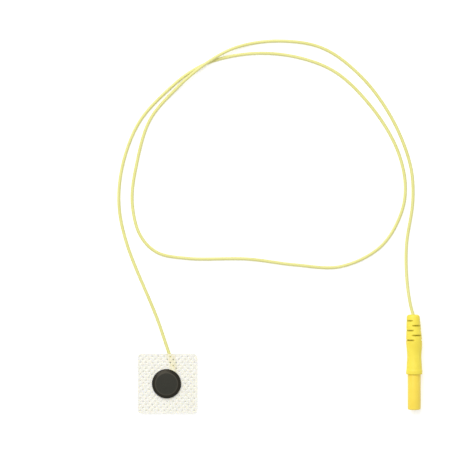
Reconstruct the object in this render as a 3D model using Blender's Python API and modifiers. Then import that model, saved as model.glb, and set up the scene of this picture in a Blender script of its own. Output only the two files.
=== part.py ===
# Pre-wired electrode patch: a small square patch with a sensor button in its middle,
# a thin lead that leaves the patch between its layers, and a moulded safety socket.
# The patch lies skin side down at the origin, and the lead and socket lie beside it.
import math

import bmesh
import bpy
from mathutils import Matrix, Vector
from mathutils.geometry import intersect_line_line_2d

MM = 0.001

# Clearance left between two pieces that touch
GAP = 0.05 * MM

# Patch
PATCH_SIDE = 22.5 * MM
PATCH_CORNER_RADIUS = 1.7 * MM
BASE_THICKNESS = 0.9 * MM
CLOTH_THICKNESS = 0.25 * MM
PERFORATION_PITCH = 2.25 * MM
PERFORATION_DIAMETER = 0.5 * MM
PERFORATION_MARGIN = 0.8 * MM
RIDGE_HALF_WIDTH = 1.9 * MM
RIDGE_CLEARANCE = 0.1 * MM
RIDGE_LINE_SPACING = 0.55 * MM

# Sensor in the middle of the patch, and the gel under it
SENSOR_X = -0.3 * MM
BUTTON_RADIUS = 5.45 * MM
BUTTON_HEIGHT = 1.55 * MM
BUTTON_WALL = 0.7 * MM
BUTTON_TOP_THICKNESS = 0.6 * MM
BUTTON_FACE_RADIUS = 4.15 * MM
BUTTON_BEVEL_DROP = 0.5 * MM
BUTTON_EDGE = 0.2 * MM
BUTTON_BOSS_RADIUS = 2.3 * MM
WELL_RADIUS = 4.7 * MM
GEL_THICKNESS = 0.45 * MM
GEL_EDGE = 0.14 * MM
FLANGE_RADIUS = 3.3 * MM
FLANGE_THICKNESS = 0.35 * MM
STEM_RADIUS = 0.9 * MM
STEM_BEAD = 0.15 * MM
STEM_HEIGHT = 1.05 * MM

# Lead and its bare conductor
LEAD_DIAMETER = 1.2 * MM
LEAD_LEVEL_IN_PATCH = 0.95 * MM
LEAD_DROP_LENGTH = 9.0 * MM
LEAD_RISE_LENGTH = 24.0 * MM
HUMP_FLAT = 8.0 * MM
HUMP_RAMP = 14.0 * MM
CONDUCTOR_DIAMETER = 0.4 * MM
CONDUCTOR_WRAP = math.radians(300)

# Safety socket, measured from its tail to its nose
STRAIN_RELIEF_LENGTH = 9.8 * MM
GRIP_LENGTH = 12.5 * MM
NOSE_LENGTH = 13.2 * MM
TAIL_RADIUS = 2.4 * MM
TAIL_EDGE_RADIUS = 0.9 * MM
SHOULDER_RADIUS = 3.0 * MM
SHOULDER_LENGTH = 0.75 * MM
WAIST_RADIUS = 2.72 * MM
COLLAR_RADIUS = 3.05 * MM
COLLAR_LENGTH = 1.4 * MM
COLLAR_RAMP = 0.35 * MM
COLLAR_STEP = 0.16 * MM
COLLAR_EDGE = 0.2 * MM
NOSE_RADIUS = 2.45 * MM
NOSE_EDGE_RADIUS = 0.5 * MM
SPIGOT_LENGTH = 5.2 * MM
SPIGOT_RADIUS = 1.9 * MM
SPIGOT_GROOVE_DEPTH = 0.25 * MM
SPIGOT_GROOVE_WIDTH = 1.0 * MM
ENTRY_RADIUS = 0.95 * MM
ENTRY_LENGTH = 1.15 * MM
ENTRY_CHAMFER = 0.25 * MM
RELIEF_LEAN = 0.4 * MM

# Slots of the strain relief: opposed pairs down to flat floors, each pair a quarter turn from the last
SLOT_COUNT = 5
SLOT_PITCH = 1.82 * MM
SLOT_WIDTH = 0.6 * MM
SLOT_FIRST = 2.25 * MM
SLOT_FLOOR = 1.6 * MM
SLOT_ROLL = math.radians(145)

# Contact inside the socket, for a pin of 1.5 mm
PIN_BORE_RADIUS = 0.79 * MM
PIN_BORE_LENGTH = 12.0 * MM
CONTACT_RADIUS = 1.1 * MM
CONTACT_TIP_CHAMFER = 0.12 * MM
CONTACT_COLLAR_RADIUS = 1.3 * MM
CONTACT_COLLAR_LENGTH = 0.9 * MM
CONTACT_COLLAR_SETBACK = 2.0 * MM
CONTACT_SLOT_WIDTH = 0.3 * MM
CONTACT_SLOT_LENGTH = 8.5 * MM
CRIMP_RADIUS = 0.85 * MM
CRIMP_LENGTH = 5.1 * MM
CRIMP_BORE_DEPTH = 4.2 * MM
CRIMP_BORE_RADIUS = 0.45 * MM

# How finely round things are drawn: sides of turned pieces, and straight lengths of the lead in diameters
SENSOR_SIDES = 38
STUD_SIDES = 24
SOCKET_SIDES = 28
CONTACT_SIDES = 22
PERFORATION_SIDES = 6
LEAD_STEP_AT_PATCH = 2
LEAD_STEP_AT_SOCKET = 3.5
LEAD_STEP_AT_CROSSING = 5
LEAD_STEPS = (10, 8, 6, 5)
LEAD_TURN_PER_STEP = math.radians(12)

# Places that follow from the sizes above
LEAD_RADIUS = LEAD_DIAMETER / 2
CONDUCTOR_RADIUS = CONDUCTOR_DIAMETER / 2
CLOTH_LEVEL = BASE_THICKNESS + GAP
BUTTON_LEVEL = BASE_THICKNESS + GAP
BUTTON_TOP = BUTTON_LEVEL + BUTTON_HEIGHT
FLANGE_LEVEL = GEL_THICKNESS + GAP
FLANGE_TOP = FLANGE_LEVEL + FLANGE_THICKNESS
LOOP_LEVEL = FLANGE_TOP + GAP + CONDUCTOR_RADIUS
BOSS_LEVEL = LOOP_LEVEL + CONDUCTOR_RADIUS + GAP
STEM_TOP = FLANGE_TOP + STEM_HEIGHT
FACE_STATION = STRAIN_RELIEF_LENGTH + GRIP_LENGTH
NOSE_STATION = FACE_STATION + GAP
TIP_STATION = NOSE_STATION + NOSE_LENGTH
SPIGOT_STATION = NOSE_STATION - SPIGOT_LENGTH
CRIMP_STATION = SPIGOT_STATION - CRIMP_LENGTH
LEAD_END_STATION = CRIMP_STATION - GAP
CONTACT_TIP_STATION = TIP_STATION - ENTRY_LENGTH - GAP
CHAMBER_RADIUS = CONTACT_COLLAR_RADIUS + GAP

# Route of the lead seen from above, in millimetres, from inside the button to the socket's tail.
# The socket lies in line with Y, nose towards -Y, with its tail leaning aside to the last point.
LEAD_ROUTE = [
    (2.1, 3.6), (1.9, 8.0), (0.4, 12.0), (-3.9, 24.5), (-15.4, 53.0),
    (-18.2, 67.7), (-16.5, 83.1), (-10.3, 98.4), (0.6, 110.4), (9.0, 117.0),
    (18.0, 121.2), (34.0, 123.8), (50.0, 122.0), (63.5, 116.4), (77.0, 103.0),
    (85.9, 88.2), (89.1, 75.0), (87.7, 64.2), (80.0, 51.4), (65.0, 43.9),
    (48.0, 44.5), (30.0, 46.7), (8.0, 46.9), (-3.9, 49.2), (-10.2, 55.6),
    (-13.2, 68.0), (-11.6, 82.0), (-6.5, 98.9), (3.6, 110.7), (14.5, 119.9),
    (26.0, 126.0), (41.0, 128.4), (58.0, 125.8), (72.4, 115.3), (84.0, 99.6),
    (91.0, 82.0), (92.0, 69.0), (89.6, 52.0), (89.7, 38.5), (90.95, 29.4),
    (91.9, 25.95),
]
LEAD_ENTRY = Vector((LEAD_ROUTE[-1][0] * MM, LEAD_ROUTE[-1][1] * MM, COLLAR_RADIUS))
SOCKET_TAIL = LEAD_ENTRY + Vector((RELIEF_LEAN, 0, 0))
SENSOR_CENTRE = Vector((SENSOR_X, 0, 0))


def clear_scene():
    for obj in list(bpy.data.objects):
        bpy.data.objects.remove(obj, do_unlink=True)


def new_collection(name):
    collection = bpy.data.collections.new(name)
    bpy.context.scene.collection.children.link(collection)
    return collection


def plastic(name, colour, roughness, metallic=0.0):
    material = bpy.data.materials.new(name)
    material.use_nodes = True
    shader = material.node_tree.nodes["Principled BSDF"]
    shader.inputs["Base Color"].default_value = (*colour, 1)
    shader.inputs["Roughness"].default_value = roughness
    shader.inputs["Metallic"].default_value = metallic
    return material


def new_piece(name, data, material=None):
    obj = bpy.data.objects.new(name, data)
    if material:
        data.materials.append(material)
        parts.objects.link(obj)
    else:
        cutters.objects.link(obj)
        obj.hide_render = True
        obj.display_type = "WIRE"
    return obj


def mesh_from_bmesh(name, bm):
    mesh = bpy.data.meshes.new(name)
    bm.to_mesh(mesh)
    bm.free()
    return mesh


def boolean(obj, operation, other):
    cut = obj.modifiers.new(f"{operation.title()} {other.name}", "BOOLEAN")
    cut.operation = operation
    cut.object = other
    cut.solver = "EXACT"


def smooth_shading(obj, angle=math.radians(32)):
    # The modifiers are made real first, so that the sharp edges can be marked
    bpy.context.view_layer.update()
    evaluated = obj.evaluated_get(bpy.context.evaluated_depsgraph_get())
    mesh = bpy.data.meshes.new_from_object(evaluated)
    obj.modifiers.clear()
    obj.data = mesh
    mesh.shade_smooth()
    mesh.set_sharp_from_angle(angle=angle)


def turned(name, profile, steps, material=None, ring=False):
    # The profile is a list of (radius, height), run down its outer side; a ring's profile closes on itself
    bm = bmesh.new()
    verts = [bm.verts.new((radius, 0, height)) for radius, height in profile]
    for start, end in zip(verts, verts[1:]):
        bm.edges.new((start, end))
    if ring:
        bm.edges.new((verts[-1], verts[0]))
    obj = new_piece(name, mesh_from_bmesh(name, bm), material)
    screw = obj.modifiers.new("Turn", "SCREW")
    screw.axis = "Z"
    screw.steps = steps
    screw.render_steps = steps
    screw.use_merge_vertices = True
    screw.merge_threshold = 0.000001
    return obj


def rounded_corner(centre_radius, centre_height, radius, start, end, steps=4):
    # Points of an arc in a profile, angles in degrees from the outward direction
    angles = [math.radians(start + (end - start) * i / steps) for i in range(steps + 1)]
    return [(centre_radius + radius * math.cos(a), centre_height + radius * math.sin(a)) for a in angles]


def rounded_square(name, side, corner_radius, bottom, top, material=None):
    bm = bmesh.new()
    size = Matrix.Diagonal((side, side, top - bottom, 1))
    place = Matrix.Translation((0, 0, (bottom + top) / 2))
    bmesh.ops.create_cube(bm, size=1, matrix=place @ size)
    upright = [e for e in bm.edges if abs(e.verts[0].co.z - e.verts[1].co.z) > (top - bottom) / 2]
    bmesh.ops.bevel(bm, geom=upright, offset=corner_radius, segments=6, profile=0.5, affect="EDGES")
    return new_piece(name, mesh_from_bmesh(name, bm), material)


def cylinder(name, radius, bottom, top, segments, centre=SENSOR_CENTRE):
    bm = bmesh.new()
    place = Matrix.Translation((centre.x, centre.y, (bottom + top) / 2))
    bmesh.ops.create_cone(bm, cap_ends=True, segments=segments, radius1=radius, radius2=radius,
                          depth=top - bottom, matrix=place)
    return new_piece(name, mesh_from_bmesh(name, bm))


def wire(name, points, radius, material=None):
    curve = bpy.data.curves.new(name, "CURVE")
    curve.dimensions = "3D"
    curve.bevel_depth = radius
    curve.bevel_resolution = 2
    curve.use_fill_caps = True
    spline = curve.splines.new("POLY")
    spline.points.add(len(points) - 1)
    for spline_point, point in zip(spline.points, points):
        spline_point.co = (*point, 1)
    return new_piece(name, curve, material)


def wire_as_mesh(obj):
    # A cutter can't be a curve: the curve is swapped for its mesh with the end caps welded on
    bpy.context.view_layer.update()
    evaluated = obj.evaluated_get(bpy.context.evaluated_depsgraph_get())
    mesh = bpy.data.meshes.new_from_object(evaluated)
    bm = bmesh.new()
    bm.from_mesh(mesh)
    bmesh.ops.remove_doubles(bm, verts=bm.verts, dist=0.000001)
    bm.to_mesh(mesh)
    bm.free()
    solid = new_piece(obj.name + "_solid", mesh)
    solid.matrix_world = obj.matrix_world
    bpy.data.objects.remove(obj, do_unlink=True)
    return solid


def ease(share):
    # Smooth step from 0 to 1, flat at both ends
    share = min(max(share, 0), 1)
    return share * share * (3 - 2 * share)


def smooth_curve(points, steps=16):
    # Centripetal curve through the points, continued straight past both ends
    ends = [points[0] * 2 - points[1], *points, points[-1] * 2 - points[-2]]
    curve = []
    for before, start, end, after in zip(ends, ends[1:], ends[2:], ends[3:]):
        t1 = math.sqrt((start - before).length)
        t2 = t1 + math.sqrt((end - start).length)
        t3 = t2 + math.sqrt((after - end).length)
        for i in range(steps):
            t = t1 + (t2 - t1) * i / steps
            a = before.lerp(start, t / t1)
            b = start.lerp(end, (t - t1) / (t2 - t1))
            c = end.lerp(after, (t - t2) / (t3 - t2))
            curve.append(a.lerp(b, t / t2).lerp(b.lerp(c, (t - t1) / (t3 - t1)), (t - t1) / (t2 - t1)))
    curve.append(points[-1])
    return curve


def distances_along(curve):
    distances = [0.0]
    for start, end in zip(curve, curve[1:]):
        distances.append(distances[-1] + (end - start).length)
    return distances


def distance_of_crossing(curve, distances):
    # Where the second lap of the lead passes over the first, measured along the lead
    clear_of_itself = 20
    for i in range(len(curve) - 1):
        for j in range(i + clear_of_itself, len(curve) - 1):
            hit = intersect_line_line_2d(curve[i], curve[i + 1], curve[j], curve[j + 1])
            if hit:
                return distances[j] + (hit - curve[j]).length
    return None


def point_along(curve, distances, distance):
    for start, end, at_start, at_end in zip(curve, curve[1:], distances, distances[1:]):
        if distance <= at_end:
            return start.lerp(end, (distance - at_start) / (at_end - at_start))
    return curve[-1]


def lead_path():
    # The lead's centre line: up into the patch, flat on the table, over itself once, up into the socket
    plan = smooth_curve([Vector(point) * MM for point in LEAD_ROUTE])
    distances = distances_along(plan)
    tail = distances[-1]
    patch_edge = next(d for d, point in zip(distances, plan) if point.y > PATCH_SIDE / 2)
    crossing = distance_of_crossing(plan, distances)

    def height(distance):
        in_patch = ease((patch_edge + LEAD_DROP_LENGTH - distance) / LEAD_DROP_LENGTH)
        in_socket = ease((distance - tail + LEAD_RISE_LENGTH) / LEAD_RISE_LENGTH)
        level = LEAD_RADIUS + in_patch * (LEAD_LEVEL_IN_PATCH - LEAD_RADIUS)
        level += in_socket * (SOCKET_TAIL.z - LEAD_RADIUS)
        if crossing:
            over = ease((HUMP_FLAT + HUMP_RAMP - abs(distance - crossing)) / HUMP_RAMP)
            level += over * (LEAD_DIAMETER + GAP)
        return level

    def heading(distance):
        ahead = point_along(plan, distances, distance + LEAD_DIAMETER)
        return ahead - point_along(plan, distances, distance)

    def step(distance):
        # Short steps where the lead rises or bends, long ones where it runs nearly straight
        if distance < patch_edge + LEAD_DROP_LENGTH:
            return LEAD_DIAMETER * LEAD_STEP_AT_PATCH
        if distance > tail - LEAD_RISE_LENGTH:
            return LEAD_DIAMETER * LEAD_STEP_AT_SOCKET
        if crossing and abs(distance - crossing) < HUMP_FLAT + HUMP_RAMP:
            return LEAD_DIAMETER * LEAD_STEP_AT_CROSSING
        for diameters in LEAD_STEPS:
            turn = heading(distance).angle(heading(distance + diameters * LEAD_DIAMETER))
            if turn < LEAD_TURN_PER_STEP:
                break
        return LEAD_DIAMETER * diameters

    path = []
    distance = 0
    while distance < tail - step(distance) / 2:
        point = point_along(plan, distances, distance)
        path.append(Vector((point.x, point.y, height(distance))))
        distance += step(distance)
    path.append(LEAD_ENTRY.copy())
    path.append(SOCKET_TAIL - Vector((0, LEAD_END_STATION, 0)))
    return path


def lead_length(path):
    return sum((end - start).length for start, end in zip(path, path[1:]))


def distance_to_path(x, y, path):
    place = Vector((x, y))
    nearest = None
    for start, end in zip(path, path[1:]):
        a, b = start.xy, end.xy
        share = min(max((place - a).dot(b - a) / (b - a).length_squared, 0), 1)
        distance = (place - a.lerp(b, share)).length
        if nearest is None or distance < nearest[0]:
            nearest = (distance, start.z + (end.z - start.z) * share)
    return nearest


def base_tape(channel, material):
    # Foam base with a through well for the gel and a channel in its top for the lead
    base = rounded_square("base_tape", PATCH_SIDE, PATCH_CORNER_RADIUS, 0, BASE_THICKNESS, material)
    well = cylinder("well_cutter", WELL_RADIUS, -MM, BASE_THICKNESS + MM, SENSOR_SIDES)
    boolean(base, "DIFFERENCE", well)
    boolean(base, "DIFFERENCE", channel)
    smooth_shading(base)
    return base


def perforation_centres():
    # Staggered rows over the patch, clear of its edge and of the button
    half_pitch = PERFORATION_PITCH / 2
    reach = PATCH_SIDE / 2 - PERFORATION_MARGIN - PERFORATION_DIAMETER / 2
    clear_of_button = BUTTON_RADIUS + GAP + PERFORATION_DIAMETER
    count = int(reach / half_pitch) + 1
    centres = []
    for row in range(-count, count + 1):
        for column in range(-count, count + 1):
            centre = Vector((column * half_pitch, row * half_pitch, 0))
            if (row + column) % 2 or max(abs(centre.x), abs(centre.y)) > reach:
                continue
            if (centre - SENSOR_CENTRE).length > clear_of_button:
                centres.append(centre)
    return centres


def cover_cloth(path, material):
    # Thin perforated cloth over the base, raised in a ridge over the lead, with a hole for the button
    in_patch = [point for point in path if max(abs(point.x), abs(point.y)) < PATCH_SIDE]
    half = PATCH_SIDE / 2 + MM
    rows = round(2 * half / (PERFORATION_PITCH / 2))
    bm = bmesh.new()
    bmesh.ops.create_grid(bm, x_segments=1, y_segments=rows, size=half)
    first = min(point.x for point in in_patch if point.y < half) - RIDGE_HALF_WIDTH
    last = max(point.x for point in in_patch if point.y < half) + RIDGE_HALF_WIDTH
    lines = math.ceil((last - first) / RIDGE_LINE_SPACING)
    for i in range(lines + 1):
        place = Vector((first + (last - first) * i / lines, 0, 0))
        bmesh.ops.bisect_plane(bm, geom=bm.verts[:] + bm.edges[:] + bm.faces[:], dist=0.000001,
                               plane_co=place, plane_no=(1, 0, 0))
    for vert in bm.verts:
        distance, level = distance_to_path(vert.co.x, vert.co.y, in_patch)
        share = min(distance / RIDGE_HALF_WIDTH, 1)
        crest = level + LEAD_RADIUS + RIDGE_CLEARANCE - CLOTH_LEVEL
        vert.co.z = CLOTH_LEVEL + crest * math.cos(share * math.pi / 2) ** 2
    cloth = new_piece("cover_cloth", mesh_from_bmesh("cover_cloth", bm), material)
    thickness = cloth.modifiers.new("Thickness", "SOLIDIFY")
    thickness.thickness = CLOTH_THICKNESS
    thickness.offset = 1
    top = CLOTH_LEVEL + LEAD_DIAMETER + CLOTH_THICKNESS + MM
    outline = rounded_square("cloth_outline", PATCH_SIDE, PATCH_CORNER_RADIUS, -MM, top)
    hole = cylinder("button_hole_cutter", BUTTON_RADIUS + GAP, -MM, top, SENSOR_SIDES)
    boolean(cloth, "INTERSECT", outline)
    boolean(cloth, "DIFFERENCE", hole)
    bm = bmesh.new()
    for centre in perforation_centres():
        place = Matrix.Translation((centre.x, centre.y, top / 2))
        bmesh.ops.create_cone(bm, cap_ends=True, segments=PERFORATION_SIDES, radius1=PERFORATION_DIAMETER / 2,
                              radius2=PERFORATION_DIAMETER / 2, depth=top + MM, matrix=place)
    pins = new_piece("perforation_cutters", mesh_from_bmesh("perforation_cutters", bm))
    boolean(cloth, "DIFFERENCE", pins)
    smooth_shading(cloth)
    return cloth


def gel_pad(material):
    # Solid gel disc, flush with the skin side of the base
    radius = WELL_RADIUS - GAP
    profile = [(0, GEL_THICKNESS), (radius - GEL_EDGE, GEL_THICKNESS), (radius, GEL_THICKNESS - GEL_EDGE),
               (radius, GEL_EDGE / 2), (radius - GEL_EDGE / 2, 0), (0, 0)]
    gel = turned("gel_pad", profile, SENSOR_SIDES, material)
    gel.location = SENSOR_CENTRE
    smooth_shading(gel)
    return gel


def stem_outline(clearance):
    # The stem's side from tip to flange; the bore in the button uses it with a clearance
    neck = STEM_RADIUS + clearance
    bead = neck + STEM_BEAD
    return [(neck - STEM_BEAD, STEM_TOP), (neck, STEM_TOP - STEM_BEAD),
            (bead, STEM_TOP - 2 * STEM_BEAD), (bead, STEM_TOP - 3 * STEM_BEAD),
            (neck, STEM_TOP - 4 * STEM_BEAD)]


def sensor_stud(material):
    # Eyelet that carries the signal: flange on the gel, beaded stem pressed into the button
    edge = FLANGE_THICKNESS / 2
    profile = [(0, STEM_TOP), *stem_outline(0), (STEM_RADIUS, FLANGE_TOP),
               (FLANGE_RADIUS - edge, FLANGE_TOP),
               *rounded_corner(FLANGE_RADIUS - edge, FLANGE_LEVEL + edge, edge, 60, -60, 4),
               (FLANGE_RADIUS - edge, FLANGE_LEVEL), (0, FLANGE_LEVEL)]
    stud = turned("sensor_stud", profile, STUD_SIDES, material)
    stud.location = SENSOR_CENTRE
    smooth_shading(stud)
    return stud


def sensor_cap(channel, material):
    # Round button: flat face, wide bevel, skirt on the base, and a boss that clamps the conductor
    side_top = BUTTON_TOP - BUTTON_BEVEL_DROP
    skirt = BUTTON_RADIUS - BUTTON_WALL
    ceiling = BUTTON_TOP - BUTTON_TOP_THICKNESS
    bore = stem_outline(GAP)
    mouth_radius = STEM_RADIUS + GAP
    profile = [(0, BUTTON_TOP), (BUTTON_FACE_RADIUS, BUTTON_TOP),
               (BUTTON_FACE_RADIUS + BUTTON_EDGE, BUTTON_TOP - BUTTON_EDGE / 5),
               (BUTTON_RADIUS - 3 / 4 * BUTTON_EDGE, side_top + BUTTON_EDGE / 2),
               (BUTTON_RADIUS, side_top - BUTTON_EDGE / 2),
               (BUTTON_RADIUS, BUTTON_LEVEL), (skirt, BUTTON_LEVEL),
               (skirt, ceiling - BUTTON_EDGE), (skirt - BUTTON_EDGE, ceiling),
               (BUTTON_BOSS_RADIUS, ceiling), (BUTTON_BOSS_RADIUS, BOSS_LEVEL),
               (mouth_radius, BOSS_LEVEL),
               *[(radius, height + GAP) for radius, height in reversed(bore)], (0, STEM_TOP + GAP)]
    cap = turned("sensor_cap", profile, SENSOR_SIDES, material)
    cap.location = SENSOR_CENTRE
    boolean(cap, "DIFFERENCE", channel)
    smooth_shading(cap)
    return cap


def conductor_loop(path, material):
    # Bare conductor: straight from the lead's end to the stem, then most of a turn round it
    end = path[0]
    inward = (path[0] - path[1]).normalized()
    start = end + inward * GAP
    radius = STEM_RADIUS + GAP + CONDUCTOR_RADIUS
    offset = start.xy - SENSOR_CENTRE.xy
    tangent = math.atan2(offset.y, offset.x) - math.acos(radius / offset.length)
    steps = 18
    turn = []
    for i in range(steps + 1):
        angle = tangent - CONDUCTOR_WRAP * i / steps
        turn.append(Vector((SENSOR_CENTRE.x + radius * math.cos(angle),
                            SENSOR_CENTRE.y + radius * math.sin(angle), LOOP_LEVEL)))
    clear_of_flange = offset.length - FLANGE_RADIUS - CONDUCTOR_DIAMETER
    on_flange = start.lerp(turn[0], clear_of_flange / (turn[0] - start).length)
    on_flange.z = LOOP_LEVEL
    points = [start, on_flange, *turn]
    return wire("conductor_loop", points, CONDUCTOR_RADIUS, material)


def place_in_socket(obj):
    # Socket pieces are turned with their tail at the local origin and their nose towards local -Z
    obj.location = SOCKET_TAIL
    obj.rotation_euler = (-math.pi / 2, 0, 0)


def lean_relief(obj):
    # The pull of the lead leans the relief aside, most at its tail and not at all past the lead's end
    for vert in obj.data.vertices:
        station = -vert.co.z
        vert.co.x -= RELIEF_LEAN * max(1 - station / LEAD_END_STATION, 0)


def connector_grip(material):
    # Moulded grip: slotted strain relief, waisted body with a collar, and a bore stepped to its contents
    lead_bore = LEAD_RADIUS + GAP
    groove_start = SPIGOT_STATION + SPIGOT_LENGTH / 2 - SPIGOT_GROOVE_WIDTH / 2
    groove_end = groove_start + SPIGOT_GROOVE_WIDTH
    rib = SPIGOT_RADIUS - SPIGOT_GROOVE_DEPTH + GAP
    spigot_bore = SPIGOT_RADIUS + GAP
    outside = [*rounded_corner(TAIL_RADIUS - TAIL_EDGE_RADIUS, -TAIL_EDGE_RADIUS, TAIL_EDGE_RADIUS, 90, 0, 3),
               (SHOULDER_RADIUS, -STRAIN_RELIEF_LENGTH)]
    waist_start = STRAIN_RELIEF_LENGTH + SHOULDER_LENGTH
    waist_end = FACE_STATION - COLLAR_LENGTH - COLLAR_RAMP
    behind_collar = COLLAR_RADIUS - COLLAR_STEP
    waist_steps = 8
    for i in range(waist_steps + 1):
        share = i / waist_steps
        straight = SHOULDER_RADIUS + (behind_collar - SHOULDER_RADIUS) * share
        dip = (SHOULDER_RADIUS - WAIST_RADIUS) * math.sin(math.pi * share) ** 2
        outside.append((straight - dip, -(waist_start + (waist_end - waist_start) * share)))
    outside += [(COLLAR_RADIUS, -(FACE_STATION - COLLAR_LENGTH)),
                (COLLAR_RADIUS, -(FACE_STATION - COLLAR_EDGE)),
                (COLLAR_RADIUS - COLLAR_EDGE, -FACE_STATION)]
    inside = [(spigot_bore, -FACE_STATION), (spigot_bore, -(groove_end - GAP)), (rib, -(groove_end - GAP)),
              (rib, -(groove_start + GAP)), (spigot_bore, -(groove_start + GAP)),
              (spigot_bore, -(SPIGOT_STATION - GAP)), (CRIMP_RADIUS + GAP, -(SPIGOT_STATION - GAP)),
              (CRIMP_RADIUS + GAP, -LEAD_END_STATION), (lead_bore, -LEAD_END_STATION), (lead_bore, 0)]
    grip = turned("connector_grip", outside + inside, SOCKET_SIDES, material, ring=True)
    place_in_socket(grip)
    bm = bmesh.new()
    reach = 2 * COLLAR_RADIUS
    size = Matrix.Diagonal((reach, 2 * reach, SLOT_WIDTH, 1))
    for i in range(SLOT_COUNT):
        station = Matrix.Translation((0, 0, -(SLOT_FIRST + SLOT_PITCH * i)))
        for half_turn in (0, math.pi):
            turn = Matrix.Rotation(-SLOT_ROLL + i % 2 * math.pi / 2 + half_turn, 4, "Z")
            outward = Matrix.Translation((SLOT_FLOOR + reach / 2, 0, 0))
            bmesh.ops.create_cube(bm, size=1, matrix=station @ turn @ outward @ size)
    slots = new_piece("strain_relief_cutters", mesh_from_bmesh("strain_relief_cutters", bm))
    place_in_socket(slots)
    boolean(grip, "DIFFERENCE", slots)
    smooth_shading(grip)
    lean_relief(grip)
    return grip


def socket_sleeve(material):
    # Insulating nose with a rear spigot that the grip is moulded over, and a narrow entry for the pin
    groove_start = SPIGOT_STATION + SPIGOT_LENGTH / 2 - SPIGOT_GROOVE_WIDTH / 2
    groove_end = groove_start + SPIGOT_GROOVE_WIDTH
    groove_radius = SPIGOT_RADIUS - SPIGOT_GROOVE_DEPTH
    lip = TIP_STATION - ENTRY_LENGTH
    profile = [(CHAMBER_RADIUS, -SPIGOT_STATION), (SPIGOT_RADIUS, -SPIGOT_STATION),
               (SPIGOT_RADIUS, -groove_start), (groove_radius, -groove_start),
               (groove_radius, -groove_end), (SPIGOT_RADIUS, -groove_end), (SPIGOT_RADIUS, -NOSE_STATION),
               (NOSE_RADIUS, -NOSE_STATION),
               *rounded_corner(NOSE_RADIUS - NOSE_EDGE_RADIUS, -(TIP_STATION - NOSE_EDGE_RADIUS),
                               NOSE_EDGE_RADIUS, 0, -90, 4),
               (ENTRY_RADIUS + ENTRY_CHAMFER, -TIP_STATION), (ENTRY_RADIUS, -(TIP_STATION - ENTRY_CHAMFER)),
               (ENTRY_RADIUS, -lip), (CHAMBER_RADIUS, -lip)]
    sleeve = turned("socket_sleeve", profile, SOCKET_SIDES, material, ring=True)
    place_in_socket(sleeve)
    smooth_shading(sleeve)
    return sleeve


def socket_contact(material):
    # Turned contact: crimp barrel, collar, and a sprung tube slotted crosswise for the pin
    collar_start = SPIGOT_STATION + CONTACT_COLLAR_SETBACK
    collar_end = collar_start + CONTACT_COLLAR_LENGTH
    bore_start = CONTACT_TIP_STATION - PIN_BORE_LENGTH
    crimp_end = CRIMP_STATION + CRIMP_BORE_DEPTH
    profile = [(0, -crimp_end), (CRIMP_BORE_RADIUS, -crimp_end),
               (CRIMP_BORE_RADIUS, -CRIMP_STATION), (CRIMP_RADIUS, -CRIMP_STATION),
               (CRIMP_RADIUS, -(SPIGOT_STATION + GAP)), (CONTACT_RADIUS, -(SPIGOT_STATION + 2 * GAP)),
               (CONTACT_RADIUS, -collar_start), (CONTACT_COLLAR_RADIUS, -collar_start),
               (CONTACT_COLLAR_RADIUS, -collar_end), (CONTACT_RADIUS, -collar_end),
               (CONTACT_RADIUS, -(CONTACT_TIP_STATION - CONTACT_TIP_CHAMFER)),
               (CONTACT_RADIUS - CONTACT_TIP_CHAMFER, -CONTACT_TIP_STATION),
               (PIN_BORE_RADIUS, -CONTACT_TIP_STATION), (PIN_BORE_RADIUS, -bore_start), (0, -bore_start)]
    contact = turned("socket_contact", profile, CONTACT_SIDES, material)
    place_in_socket(contact)
    wide = 3 * CONTACT_RADIUS
    slot_sizes = {"across": (wide, CONTACT_SLOT_WIDTH), "upright": (CONTACT_SLOT_WIDTH, wide)}
    for direction, size in slot_sizes.items():
        bm = bmesh.new()
        shape = Matrix.Diagonal((*size, 2 * CONTACT_SLOT_LENGTH, 1))
        bmesh.ops.create_cube(bm, size=1, matrix=Matrix.Translation((0, 0, -CONTACT_TIP_STATION)) @ shape)
        slot = new_piece(f"contact_slot_{direction}", mesh_from_bmesh(f"contact_slot_{direction}", bm))
        place_in_socket(slot)
        boolean(contact, "DIFFERENCE", slot)
    smooth_shading(contact)
    return contact


def conductor_tail(material):
    # Bare conductor in the crimp barrel
    start = SOCKET_TAIL - Vector((0, LEAD_END_STATION + GAP, 0))
    end = SOCKET_TAIL - Vector((0, CRIMP_STATION + CRIMP_BORE_DEPTH - GAP, 0))
    return wire("conductor_tail", [start, start.lerp(end, 0.5), end], CONDUCTOR_RADIUS, material)


clear_scene()
parts = new_collection("electrode_patch")
cutters = new_collection("cutters")

cloth_finish = plastic("cloth", (0.90, 0.88, 0.82), 0.85)
foam_finish = plastic("foam", (0.88, 0.87, 0.83), 0.9)
gel_finish = plastic("gel", (0.75, 0.80, 0.82), 0.2)
stud_finish = plastic("silver_coating", (0.55, 0.54, 0.52), 0.4, 1.0)
button_finish = plastic("black_button", (0.04, 0.04, 0.038), 0.4)
lead_finish = plastic("yellow_insulation", (0.90, 0.75, 0.22), 0.45)
grip_finish = plastic("yellow_overmould", (0.93, 0.76, 0.10), 0.5)
nose_finish = plastic("yellow_nose", (0.95, 0.70, 0.10), 0.4)
brass_finish = plastic("plated_contact", (0.80, 0.66, 0.38), 0.25, 1.0)
copper_finish = plastic("tinned_conductor", (0.72, 0.68, 0.62), 0.35, 1.0)

lead_line = lead_path()
wire("lead_wire", lead_line, LEAD_RADIUS, lead_finish)
channel_start = lead_line[0] + (lead_line[0] - lead_line[1]).normalized() * MM
channel_line = [channel_start, *[point for point in lead_line[1:] if max(point.x, point.y) < PATCH_SIDE]]
channel_cutter = wire_as_mesh(wire("lead_channel", channel_line, LEAD_RADIUS + GAP))

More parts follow.
